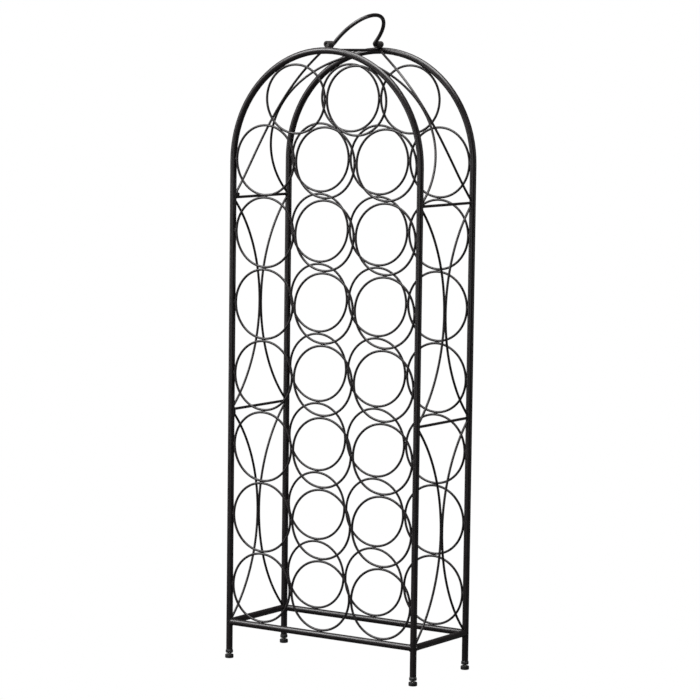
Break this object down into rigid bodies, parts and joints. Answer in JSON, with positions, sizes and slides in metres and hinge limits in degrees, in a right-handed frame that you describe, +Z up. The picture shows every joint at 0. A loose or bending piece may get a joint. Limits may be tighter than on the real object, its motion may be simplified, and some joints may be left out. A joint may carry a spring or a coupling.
{
  "type": "arched wine rack",
  "caption": "Free-standing arched wine rack of bent steel tube with welded wire rings that hold bottles lying down, bowed side wires, a swinging carry handle and levelling feet.",
  "frame": {"origin": "on the floor, under the middle of the rack's footprint", "axes": "+X across the rack to the right seen from the front, +Y from the front hoop to the rear hoop, +Z up"},
  "size_m": [0.334, 0.1524, 0.9471],
  "materials": {
    "frame_tube": "satin black powder coat on bent steel tube",
    "ring_wire": "satin black powder coat on drawn steel wire",
    "side_wire": "satin black powder coat on drawn steel wire",
    "handle_rod": "satin black powder coat, lightly polished where a hand holds it",
    "insert_plastic": "moulded black plastic",
    "pad_rubber": "matt black rubber",
    "stud_zinc": "bright zinc-plated steel"
  },
  "bodies": {
    "rack_frame": {"front_hoop": "frame_tube", "front_bottom_rail": "frame_tube", "front_ring_row_1": "ring_wire", "front_ring_row_2": "ring_wire", "front_ring_row_3": "ring_wire", "front_ring_row_4": "ring_wire", "front_ring_row_5": "ring_wire", "front_ring_row_6": "ring_wire", "front_ring_row_7": "ring_wire", "front_ring_row_8": "ring_wire", "front_handle_barrel": "frame_tube", "rear_hoop": "frame_tube", "rear_bottom_rail": "frame_tube", "rear_ring_row_1": "ring_wire", "rear_ring_row_2": "ring_wire", "rear_ring_row_3": "ring_wire", "rear_ring_row_4": "ring_wire", "rear_ring_row_5": "ring_wire", "rear_ring_row_6": "ring_wire", "rear_ring_row_7": "ring_wire", "rear_ring_row_8": "ring_wire", "rear_handle_barrel": "frame_tube", "left_bottom_rail": "frame_tube", "left_mid_crossbar": "side_wire", "left_upper_crossbar": "side_wire", "left_lower_bow_front": "side_wire", "left_upper_bow_front": "side_wire", "left_arch_bow_front": "side_wire", "left_lower_bow_rear": "side_wire", "left_upper_bow_rear": "side_wire", "left_arch_bow_rear": "side_wire", "right_bottom_rail": "frame_tube", "right_mid_crossbar": "side_wire", "right_upper_crossbar": "side_wire", "right_lower_bow_front": "side_wire", "right_upper_bow_front": "side_wire", "right_arch_bow_front": "side_wire", "right_lower_bow_rear": "side_wire", "right_upper_bow_rear": "side_wire", "right_arch_bow_rear": "side_wire", "top_crossbar": "side_wire", "front_left_leg_insert": "insert_plastic", "front_right_leg_insert": "insert_plastic", "rear_left_leg_insert": "insert_plastic", "rear_right_leg_insert": "insert_plastic"},
    "handle": {"carry_handle": "handle_rod"},
    "front_left_pad": {"front_left_foot_pad": "pad_rubber"},
    "front_left_stud": {"front_left_levelling_stud": "stud_zinc"},
    "front_right_pad": {"front_right_foot_pad": "pad_rubber"},
    "front_right_stud": {"front_right_levelling_stud": "stud_zinc"},
    "rear_left_pad": {"rear_left_foot_pad": "pad_rubber"},
    "rear_left_stud": {"rear_left_levelling_stud": "stud_zinc"},
    "rear_right_pad": {"rear_right_foot_pad": "pad_rubber"},
    "rear_right_stud": {"rear_right_levelling_stud": "stud_zinc"}
  },
  "joints": [
    {"name": "handle_swing", "type": "hinge", "parent": "rack_frame", "child": "handle", "pos_m": [0, 0, 0.90243], "axis": [0, 1, 0], "range_deg": [-150, 72]},
    {"name": "front_left_pad_height", "type": "slide", "parent": "rack_frame", "child": "front_left_pad", "axis": [0, 0, 1], "range_m": [-0.008, 0.0015]},
    {"name": "front_left_stud_turn", "type": "hinge", "parent": "front_left_pad", "child": "front_left_stud", "pos_m": [-0.16075, -0.07, 0], "axis": [0, 0, 1], "range_deg": [-3600, 675]},
    {"name": "front_right_pad_height", "type": "slide", "parent": "rack_frame", "child": "front_right_pad", "axis": [0, 0, 1], "range_m": [-0.008, 0.0015]},
    {"name": "front_right_stud_turn", "type": "hinge", "parent": "front_right_pad", "child": "front_right_stud", "pos_m": [0.16075, -0.07, 0], "axis": [0, 0, 1], "range_deg": [-3600, 675]},
    {"name": "rear_left_pad_height", "type": "slide", "parent": "rack_frame", "child": "rear_left_pad", "axis": [0, 0, 1], "range_m": [-0.008, 0.0015]},
    {"name": "rear_left_stud_turn", "type": "hinge", "parent": "rear_left_pad", "child": "rear_left_stud", "pos_m": [-0.16075, 0.07, 0], "axis": [0, 0, 1], "range_deg": [-3600, 675]},
    {"name": "rear_right_pad_height", "type": "slide", "parent": "rack_frame", "child": "rear_right_pad", "axis": [0, 0, 1], "range_m": [-0.008, 0.0015]},
    {"name": "rear_right_stud_turn", "type": "hinge", "parent": "rear_right_pad", "child": "rear_right_stud", "pos_m": [0.16075, 0.07, 0], "axis": [0, 0, 1], "range_deg": [-3600, 675]}
  ],
  "couplings": [
    {"joint": "front_left_stud_turn", "follows": "front_left_pad_height", "rad_per_m": 7854},
    {"joint": "front_right_stud_turn", "follows": "front_right_pad_height", "rad_per_m": 7854},
    {"joint": "rear_left_stud_turn", "follows": "rear_left_pad_height", "rad_per_m": 7854},
    {"joint": "rear_right_stud_turn", "follows": "rear_right_pad_height", "rad_per_m": 7854}
  ]
}
